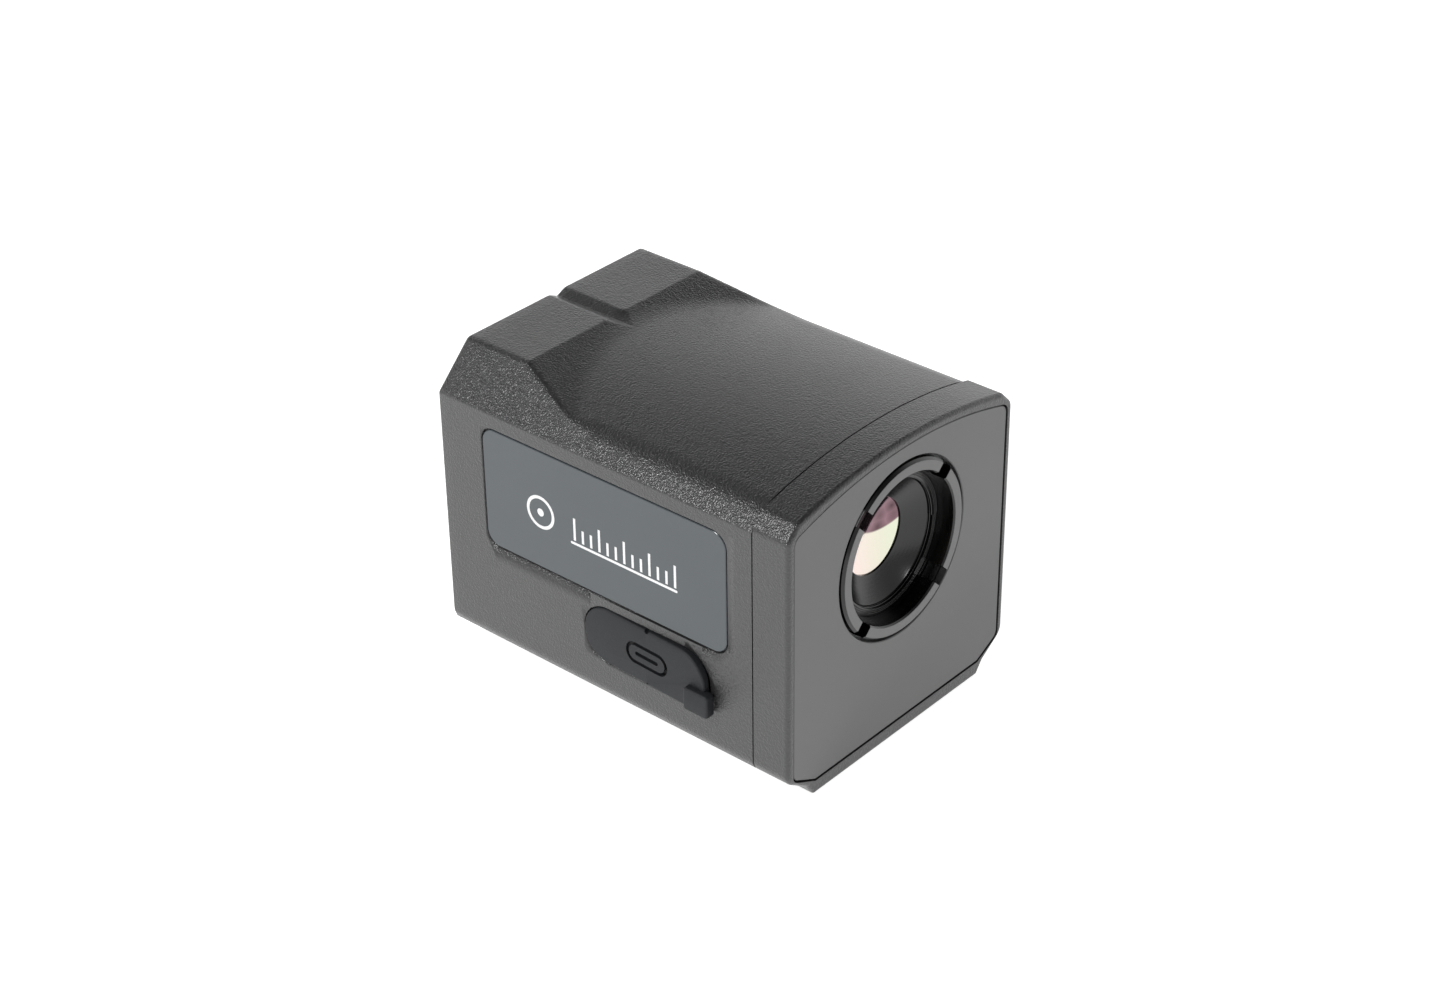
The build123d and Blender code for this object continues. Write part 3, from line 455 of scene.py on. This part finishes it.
def dress(material, *names):
    """Gives CAD nodes their material."""
    for name in names:
        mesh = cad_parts[name].data
        mesh.materials.clear()
        mesh.materials.append(material)


# ------------------------------------------------------------------ tripod insert
# Zinc plated steel bush pressed into the base. Its quarter inch thread, 20 to the inch, is cut
# with a tap, so its ridge is one spiral. The screws, pins and port shell are plated alike.
steel = mottled("zinc_plated_steel", "#8f9193", "#c2c4c6", 1.5, 0.004, (0.22, 0.4), Metallic=1.0)
dress(steel, "tripod_insert", "bezel_screws", "core_screws", "interface_screws",
      "spreader_screws", "guide_pins", "shutter_shaft", "usb_receptacle")


def spiral_tree():
    """A ridge along a spiral: a thread, or the mark a turning tool leaves on a face."""
    tree = bpy.data.node_groups.new("turned_spiral", "GeometryNodeTree")
    for name in ("Start Radius", "End Radius", "Height", "Turns", "Ridge"):
        tree.interface.new_socket(name, in_out="INPUT", socket_type="NodeSocketFloat")
    tree.interface.new_socket("Metal", in_out="INPUT", socket_type="NodeSocketMaterial")
    tree.interface.new_socket("Geometry", in_out="OUTPUT", socket_type="NodeSocketGeometry")
    sizes = node(tree, "NodeGroupInput").outputs
    line = node(tree, "GeometryNodeCurveSpiral", {
        "Resolution": 72, "Rotations": sizes["Turns"], "Start Radius": sizes["Start Radius"],
        "End Radius": sizes["End Radius"], "Height": sizes["Height"]})
    section = node(tree, "GeometryNodeCurvePrimitiveCircle", {
        "Resolution": 4, "Radius": sizes["Ridge"]})
    ridge = node(tree, "GeometryNodeCurveToMesh", {
        "Curve": line.outputs[0], "Profile Curve": section.outputs[0], "Fill Caps": True})
    real = node(tree, "GeometryNodeRealizeInstances", {0: ridge.outputs[0]})
    done = node(tree, "GeometryNodeSetMaterial", {
        "Geometry": real.outputs[0], "Material": sizes["Metal"]})
    node(tree, "NodeGroupOutput", {"Geometry": done.outputs[0]})
    return tree


turned_spiral = spiral_tree()


def grown(tree, name, body, place, turn, **sizes):
    """Runs a Geometry Nodes tree, keeps its result as a plain mesh at its place, on a body."""
    seed = bpy.data.objects.new(name + "_seed", bpy.data.meshes.new(name + "_seed"))
    scene.collection.objects.link(seed)
    modifier = seed.modifiers.new("grown", "NODES")
    modifier.node_group = tree
    for item in tree.interface.items_tree:
        if item.in_out == "INPUT":
            modifier[item.identifier] = sizes[item.name.replace(" ", "_")]
    bpy.context.view_layer.update()
    evaluated = seed.evaluated_get(bpy.context.evaluated_depsgraph_get())
    mesh = bpy.data.meshes.new_from_object(evaluated)
    bpy.data.objects.remove(seed)
    mesh.name = name
    mesh.transform(Matrix.Translation(Vector(place) * MM) @ Matrix.Rotation(turn, 4, "X"))
    made = bpy.data.objects.new(name, mesh)
    scene.collection.objects.link(made)
    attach(made, body)


PITCH = 1.27
THREAD_R, THREAD_LENGTH, THREAD_FOOT_Z = 3.15, 5.4, 0.7
grown(turned_spiral, "insert_thread", "camera_body", (0, 0, THREAD_FOOT_Z), 0.0,
      Start_Radius=THREAD_R * MM, End_Radius=THREAD_R * MM, Height=THREAD_LENGTH * MM,
      Turns=THREAD_LENGTH / PITCH, Ridge=0.42 * MM, Metal=steel)

# ------------------------------------------------------------------ front bezel and gasket
# Machined aluminium frame in the same coat. A black rubber cord fills the seam behind it.
dress(coat, "front_bezel")
nitrile = mottled("black_nitrile_rubber", "#0a0a0b", "#161617", 0.5, 0.01, (0.55, 0.7))
dress(nitrile, "bezel_gasket", "focus_ring_seal", "front_lens_seal")
foam = mottled("acrylic_foam_tape", "#0e0e0f", "#1c1c1d", 0.15, 0.03, (0.8, 0.9))
dress(foam, "front_plate_tape", "side_panel_tape")

# ------------------------------------------------------------------ front plate
# Aluminium sheet in smooth satin grey paint, held by tape in the bezel's recess.
plate_paint = mottled("satin_painted_aluminium", "#525252", "#585858", 9.0, 0.0015, (0.26, 0.31))
dress(plate_paint, "front_plate")

# ------------------------------------------------------------------ focus ring
# Turned aluminium, anodised black. Its face was skimmed after that and painted like the plate,
# so only the slots, the bore and the edges are left glossy black.
LENS_Z = 30.9
FACE_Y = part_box("focus_ring")[0].y / MM
PAINT_DEPTH = 0.05
TURNING = 0.12                  # mm between turning marks
BLACK_GLOSS, PAINT_GLOSS = 0.2, 0.29


def turned_black(name, painted_to=None):
    """Black anodised aluminium with turning marks, painted in front of the Y given in mm."""
    made, tree, shader = new_material(name, Roughness=BLACK_GLOSS)
    place = node(tree, "ShaderNodeTexCoord").outputs["Object"]
    split = node(tree, "ShaderNodeSeparateXYZ", {0: place})
    lens_z = node(tree, "ShaderNodeMath", {
        0: split.outputs["Z"], 1: LENS_Z * MM}, operation="SUBTRACT")
    flat_pair = node(tree, "ShaderNodeCombineXYZ", {0: split.outputs["X"], 1: lens_z.outputs[0]})
    radius = node(tree, "ShaderNodeVectorMath", {0: flat_pair.outputs[0]}, operation="LENGTH")
    profile = node(tree, "ShaderNodeCombineXYZ", {
        0: radius.outputs["Value"], 1: split.outputs["Y"]})
    # A wave's scale is pi tenths over its period.
    lines = node(tree, "ShaderNodeTexWave", {
        "Vector": profile.outputs[0], "Scale": math.pi / (10 * TURNING * MM),
        "Distortion": 0.4}, bands_direction="DIAGONAL")
    relief = node(tree, "ShaderNodeBump", {
        "Strength": 0.5, "Distance": 0.003 * MM, "Height": lines.outputs["Fac"]})
    tree.links.new(relief.outputs[0], shader.inputs["Normal"])
    black = node(tree, "ShaderNodeMix", {
        "Factor": lines.outputs["Fac"], 6: linear("#040404"), 7: linear("#080707")},
        data_type="RGBA")
    colour = black.outputs[2]
    if painted_to is not None:
        on_face = node(tree, "ShaderNodeMath", {
            0: split.outputs["Y"], 1: painted_to * MM}, operation="LESS_THAN")
        paint = node(tree, "ShaderNodeMix", {
            "Factor": on_face.outputs[0], 6: colour, 7: linear("#5b5b5b")}, data_type="RGBA")
        shine = node(tree, "ShaderNodeMapRange", {
            "Value": on_face.outputs[0], "To Min": BLACK_GLOSS, "To Max": PAINT_GLOSS})
        tree.links.new(shine.outputs[0], shader.inputs["Roughness"])
        colour = paint.outputs[2]
    tree.links.new(colour, shader.inputs["Base Color"])
    return made


dress(turned_black("face_painted_anodised_ring", FACE_Y + PAINT_DEPTH), "focus_ring")

# ------------------------------------------------------------------ lens cell and retainer
# Turned aluminium, anodised black. The cell's rim keeps its tool marks; the retainer is a plain
# polished cone with a thin lip, screwed in front of the first lens.
anodised = turned_black("black_anodised_aluminium")
dress(anodised, "lens_cell", "lens_spacer", "lens_mount", "shutter_blade")
CELL_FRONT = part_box("lens_cell")[0].y / MM


def lathe(profile, name, sides=144):
    """A solid turned about the lens axis from a closed profile of (y, radius) points in mm."""
    solid = bmesh.new()
    turns = [(math.cos(i * math.tau / sides), math.sin(i * math.tau / sides))
             for i in range(sides)]
    rings = []
    for y, radius in profile:
        around = turns[:1] if radius == 0 else turns
        rings.append([solid.verts.new(Vector((radius * x, y, LENS_Z + radius * z)) * MM)
                      for x, z in around])
    for near, far in zip(rings, rings[1:] + rings[:1]):
        for i in range(sides):
            j = i + 1
            corners = [near[i % len(near)], near[j % len(near)], far[j % len(far)],
                       far[i % len(far)]]
            corners = list(dict.fromkeys(corners))
            if len(corners) > 2:
                solid.faces.new(corners)
    return to_object(solid, name)


LIP_R, BORE_R = 9.6, 5.8
CONE_REAR_Y, SEAT_Y = -26.9, -26.6
retainer = lathe([
    (CELL_FRONT + 0.75, LIP_R), (CELL_FRONT + 0.7, 9.35), (CELL_FRONT + 0.82, 9.2),     # lip
    (CONE_REAR_Y - 0.05, BORE_R + 0.15), (CONE_REAR_Y, BORE_R),                         # cone
    (SEAT_Y, BORE_R), (SEAT_Y, LIP_R),                                                  # seat
], "retainer_cone")
retainer.data.materials.append(anodised)
smooth(retainer, 20)
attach(retainer, "lens_cell_body")
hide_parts("lens_retainer")
grown(turned_spiral, "cell_face_marks", "lens_cell_body", (0, CELL_FRONT, LENS_Z), math.pi / 2,
      Start_Radius=9.75 * MM, End_Radius=10.55 * MM, Height=0.0, Turns=3.0, Ridge=0.07 * MM,
      Metal=anodised)
grown(turned_spiral, "cell_thread", "lens_cell_body", (0, CELL_FRONT + 0.75, LENS_Z),
      math.pi / 2, Start_Radius=9.55 * MM, End_Radius=9.55 * MM, Height=0.6 * MM, Turns=2.0,
      Ridge=0.13 * MM, Metal=anodised)

# ------------------------------------------------------------------ lenses
# Polished germanium, opaque to the eye. The coating against reflections leaves it pink to
# greenish cream; the purple brown upper part, with its darker patches, is a painted reflection of
# the dark ceiling.
germanium, tree, shader = new_material("coated_germanium", Metallic=1.0, Roughness=0.06)
PAINTED_REFLECTION_MIDDLE = Vector((2.6, -26.0, LENS_Z + 6.55))     # middle of the painted reflection of the dark ceiling
PAINTED_REFLECTION_REACH, PAINTED_REFLECTION_FADE = 7.0, 0.2
PINK_X, GREENISH_X = -5.0, 4.0
REFLECTION_PATCH = 2.2
place = node(tree, "ShaderNodeTexCoord").outputs["Object"]
split = node(tree, "ShaderNodeSeparateXYZ", {0: place})
across = node(tree, "ShaderNodeMapRange", {
    "Value": split.outputs["X"], "From Min": PINK_X * MM, "From Max": GREENISH_X * MM})
cream = node(tree, "ShaderNodeMix", {
    "Factor": across.outputs[0], 6: linear("#dfcac6"), 7: linear("#ced0bc")}, data_type="RGBA")
reflection_patches = node(tree, "ShaderNodeTexVoronoi", {
    "Vector": place, "Scale": 1 / (REFLECTION_PATCH * MM)}, feature="F1")
# Purple brown with darker patches: a painted reflection of the dark ceiling.
painted_dark_reflection = node(tree, "ShaderNodeMix", {
    "Factor": reflection_patches.outputs["Distance"], 6: linear("#4f3a40"), 7: linear("#94757e")},
    data_type="RGBA")
# The painted reflection fills a disc round its middle, with a soft edge, over the cream.
off_reflection_middle = node(tree, "ShaderNodeVectorMath", {0: place, 1: PAINTED_REFLECTION_MIDDLE * MM}, operation="DISTANCE")
painted_reflection_mask = node(tree, "ShaderNodeMapRange", {
    "Value": off_reflection_middle.outputs["Value"], "From Min": (PAINTED_REFLECTION_REACH - PAINTED_REFLECTION_FADE) * MM,
    "From Max": (PAINTED_REFLECTION_REACH + PAINTED_REFLECTION_FADE) * MM, "To Min": 1.0, "To Max": 0.0},
    interpolation_type="SMOOTHSTEP")
cream_with_painted_reflection = node(tree, "ShaderNodeMix", {
    "Factor": painted_reflection_mask.outputs[0], 6: cream.outputs[2], 7: painted_dark_reflection.outputs[2]}, data_type="RGBA")
tree.links.new(cream_with_painted_reflection.outputs[2], shader.inputs["Base Color"])
dress(germanium, "rear_lens", "detector_window")
CLEAR, LENS_R = 5.7, 6.4
LENS_EDGE = 2.0
FRONT_DISH, REAR_BULGE = 0.9, 0.9
FACE_STEPS = 24


def dished(edge_y, depth):
    """(y, radius) points of a spherical face whose middle lies depth behind its edge."""
    bend = (CLEAR**2 + depth**2) / (2 * depth)
    radii = [CLEAR * i / FACE_STEPS for i in range(FACE_STEPS + 1)]
    return [(edge_y + depth - bend + math.sqrt(bend**2 - r**2), r) for r in radii]


front_face = dished(SEAT_Y, FRONT_DISH)
rear_face = dished(SEAT_Y + LENS_EDGE, REAR_BULGE)
rim = [(SEAT_Y, LENS_R), (SEAT_Y + LENS_EDGE, LENS_R)]
front_lens = lathe(front_face + rim + rear_face[::-1], "germanium_front_lens")
front_lens.data.materials.append(germanium)
smooth(front_lens, 12)
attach(front_lens, "lens_cell_body")
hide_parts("front_lens")

# ------------------------------------------------------------------ side panel
# Smooth blue-grey polycarbonate plate on tape. Screen printed in white with a plain target
# ring and a graduated rule.
poly = mottled("satin_polycarbonate", "#394044", "#3d4448", 7.0, 0.001, (0.26, 0.31), IOR=1.58)
dress(poly, "side_panel")
ink = mottled("screen_printing_ink", "#d6d7d8", "#e6e6e6", 0.3, 0.002, (0.45, 0.55))
INK_X = PANEL_LOW.x             # the panel's outer face
INK = 0.03
LINE_WIDTH = 0.42


def graduation_tree():
    """Upright bars on one line, every third one taller, like the marks of a rule."""
    tree = bpy.data.node_groups.new("graduation", "GeometryNodeTree")
    tree.interface.new_socket("Marks", in_out="INPUT", socket_type="NodeSocketInt")
    for name in ("Spacing", "Line Width", "Lowest", "Rise"):
        tree.interface.new_socket(name, in_out="INPUT", socket_type="NodeSocketFloat")
    tree.interface.new_socket("Print", in_out="INPUT", socket_type="NodeSocketMaterial")
    tree.interface.new_socket("Geometry", in_out="OUTPUT", socket_type="NodeSocketGeometry")
    sizes = node(tree, "NodeGroupInput").outputs
    step = node(tree, "ShaderNodeCombineXYZ", {1: sizes["Spacing"]})
    points = node(tree, "GeometryNodeMeshLine", {
        "Count": sizes["Marks"], "Offset": step.outputs[0]})
    count = node(tree, "GeometryNodeInputIndex")
    every = node(tree, "ShaderNodeMath", {0: count.outputs[0], 1: 3.0}, operation="MODULO")
    rise = node(tree, "ShaderNodeMath", {0: every.outputs[0], 1: 0.5}, operation="LESS_THAN")
    tall = node(tree, "ShaderNodeMath", {
        0: rise.outputs[0], 1: sizes["Rise"], 2: sizes["Lowest"]}, operation="MULTIPLY_ADD")
    bar = node(tree, "GeometryNodeMeshCube", {"Size": (INK * MM, 1.0, 1.0)})
    foot = node(tree, "GeometryNodeTransform", {
        "Geometry": bar.outputs[0], "Translation": (0, 0, 0.5)})
    scale = node(tree, "ShaderNodeCombineXYZ", {
        0: 1.0, 1: sizes["Line Width"], 2: tall.outputs[0]})
    stood = node(tree, "GeometryNodeInstanceOnPoints", {
        "Points": points.outputs[0], "Instance": foot.outputs[0], "Scale": scale.outputs[0]})
    real = node(tree, "GeometryNodeRealizeInstances", {0: stood.outputs[0]})
    done = node(tree, "GeometryNodeSetMaterial", {
        "Geometry": real.outputs[0], "Material": sizes["Print"]})
    node(tree, "NodeGroupOutput", {"Geometry": done.outputs[0]})
    return tree


def printed(outline, name):
    """A flat print of an outline on the panel."""
    return slab(outline, INK_X - INK / 2, INK_X + INK / 2, name)


def round_about(centre, radius, sides=48):
    """(y, z) points on a circle."""
    turns = [i * math.tau / sides for i in range(sides)]
    return [(centre[0] + radius * math.cos(a), centre[1] + radius * math.sin(a)) for a in turns]


grown(graduation_tree(), "printed_rule", "camera_body", (INK_X, 6.6, 28.4), 0.0, Marks=13,
      Spacing=-1.55 * MM, Line_Width=LINE_WIDTH * MM, Lowest=2.1 * MM, Rise=1.5 * MM, Print=ink)
baseline = printed(rounded_box(-12.4, 27.7, 7.4, 28.1, 0.19, 4), "printed_baseline")
RING = (13.1, 30.4)             # centre of the target ring
RING_OUTER, RING_INNER, DOT = 2.65, 2.15, 0.62
target = printed(round_about(RING, RING_OUTER), "printed_target")
cut(target, slab(round_about(RING, RING_INNER), INK_X - 1, INK_X + 1, "hole"))
dot = printed(round_about(RING, DOT, 24), "printed_dot")
for piece in (baseline, target, dot):
    piece.data.materials.append(ink)
    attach(piece, "camera_body")

# ------------------------------------------------------------------ port cover
# One silicone rubber moulding. Its rear half is held by a stem; the front half folds at a
# notched flex line, stands off a little at its round nose and ends in a pull tab.
silicone = mottled("moulded_silicone_rubber", "#15171a", "#1f2124", 0.25, 0.03, (0.55, 0.7),
                   IOR=1.43)
HINGE = Vector((-24.75, -6.9, COVER_Z))
FLOOR_X, FACE_X, NOSE_X = -23.4, -24.58, -25.58
LIFT_Y = -11.9                  # in front of this the flap's back leaves the seat
LIFT = 1.0
EDGE, EDGE_STEPS = 0.35, 5
BACK_EDGE = 0.15


def cover_face(y, proud):
    """X of the cover's outer face at y, moved in by proud."""
    share = max(HINGE.y - y, 0) / (HINGE.y - COVER_NOSE)
    return FACE_X + (NOSE_X - FACE_X) * share + proud


def cover_back(y):
    return FLOOR_X - LIFT * max(LIFT_Y - y, 0) / (LIFT_Y - COVER_NOSE)


def cover_outline(inset):
    return rounded_box(COVER_NOSE + inset, COVER_Z - COVER_HALF + inset, COVER_REAR - inset,
                       COVER_Z + COVER_HALF - inset, COVER_HALF - inset - 0.01, 24)


def lozenge(low_y, high_y, half, radius, steps):
    """A round ended outline at the cover's height."""
    return rounded_box(low_y, COVER_Z - half, high_y, COVER_Z + half, radius, steps)


loops = [[(cover_back(y), y, z) for y, z in cover_outline(BACK_EDGE)],
         [(cover_back(y) - BACK_EDGE, y, z) for y, z in cover_outline(0.0)]]
for i in range(EDGE_STEPS + 1):
    lean = math.pi / 2 * i / EDGE_STEPS
    loops.append([(cover_face(y, EDGE * (1 - math.sin(lean))), y, z)
                  for y, z in cover_outline(EDGE * (1 - math.cos(lean)))])
cover = skin(loops, "port_cover")
tab_outline = rounded_box(COVER_NOSE - 1.2, 10.8, COVER_NOSE + 3.2, 14.5, 0.5, 5)
tab = slab(tab_outline, -26.4, -24.75, "tab")
bevel = tab.modifiers.new("round", "BEVEL")
bevel.width, bevel.segments, bevel.limit_method = 0.3 * MM, 3, "ANGLE"
cut(cover, tab, "UNION")
# Notches at the flex line, and a sunk outline of the port it covers.
NOTCH_R, NOTCH_FLOOR_X = 0.42, -24.1
for z in (COVER_Z - COVER_HALF, COVER_Z + COVER_HALF):
    cut(cover, slab(round_about((HINGE.y, z), NOTCH_R, 16), OUTSIDE_X, NOTCH_FLOOR_X, "notch"))
SUNK_X = FACE_X + 0.28
mark = slab(lozenge(-10.9, -2.9, 1.75, 1.74, 10), OUTSIDE_X, SUNK_X, "mark")
# The island goes right through the mark.
cut(mark, slab(lozenge(-10.35, -3.45, 1.2, 1.19, 10), -27, -20, "island"))
cut(cover, mark)
cut(cover, slab(lozenge(-9.1, -4.7, 0.3, 0.29, 6), OUTSIDE_X, SUNK_X, "tongue"))
# Cuts across the flex line, where the rubber bends.
FLEX_HALF, FOLD_LINES, FOLD_STEP = 0.6, 9, 0.15
folded = bmesh.new()
folded.from_mesh(cover.data)
for i in range(FOLD_LINES):
    line = Vector((0, (HINGE.y + FLEX_HALF - FOLD_STEP * i) * MM, 0))
    bmesh.ops.bisect_plane(folded, geom=folded.verts[:] + folded.edges[:] + folded.faces[:],
                           plane_co=line, plane_no=Vector((0, 1, 0)), dist=1e-7)
bmesh.ops.triangulate(folded, faces=[face for face in folded.faces if len(face.verts) > 4])
folded.to_mesh(cover.data)
folded.free()
smooth(cover, 32)
wear(cover, silicone)
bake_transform(cover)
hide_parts("port_cover_anchor", "port_cover_flap")
# The plug that fills the port, and the stem, are moulded on the back.
plug = slab(lozenge(-17.1, -7.7, 2.0, 1.99, 10), -23.6, -22.0, "port_plug")
stem = slab(round_about((0.75, COVER_Z), 1.45, 24), -23.6, -21.7, "cover_stem")
for piece, body in ((plug, "port_cover"), (stem, "camera_body")):
    piece.data.materials.append(silicone)
    smooth(piece)
    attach(piece, body)

# ------------------------------------------------------------------ lens stack and electronics
# Brass posts, bare aluminium plates, green glass-epoxy boards and the parts soldered to them.
INSIDE = (   # material, two tones, grain, relief, gloss, metallic, nodes
    ("turned_brass", "#a8843f", "#c9a760", 1.0, 0.003, (0.25, 0.36), 1.0,
     ("front_standoffs", "rear_standoffs", "board_spacers")),
    ("bare_aluminium", "#b0b1b3", "#c8c9cb", 0.8, 0.003, (0.3, 0.45), 1.0,
     ("shutter_base", "heat_spreader")),
    ("solder_mask_on_glass_epoxy", "#0d3d24", "#14502f", 0.8, 0.006, (0.3, 0.4), 0.0,
     ("sensor_board", "processor_board", "interface_board")),
    ("moulded_epoxy", "#141416", "#1c1c1f", 0.3, 0.004, (0.45, 0.6), 0.0,
     ("shutter_actuator", "processor_chip", "power_inductors", "usb_tongue")),
    ("alumina_ceramic", "#cfc9bc", "#dcd7cb", 0.3, 0.002, (0.35, 0.45), 0.0,
     ("detector_package",)),
    ("polished_silicon", "#4c5260", "#596070", 0.9, 0.0005, (0.1, 0.16), 0.0,
     ("detector_chip",)),
    ("thermal_silicone_pad", "#6a7079", "#787e88", 0.4, 0.01, (0.75, 0.85), 0.0,
     ("thermal_pad",)),
    ("polyimide_film", "#8a4a12", "#a05c1c", 1.2, 0.002, (0.25, 0.35), 0.0, ("flex_cable",)),
    ("moulded_nylon", "#cfc7b2", "#dcd5c2", 0.5, 0.003, (0.4, 0.5), 0.0,
     ("board_connector", "flex_connectors")),
)
for name, low_tone, high_tone, grain, relief, gloss, metal, nodes in INSIDE:
    dress(mottled(name, low_tone, high_tone, grain, relief, gloss, Metallic=metal), *nodes)
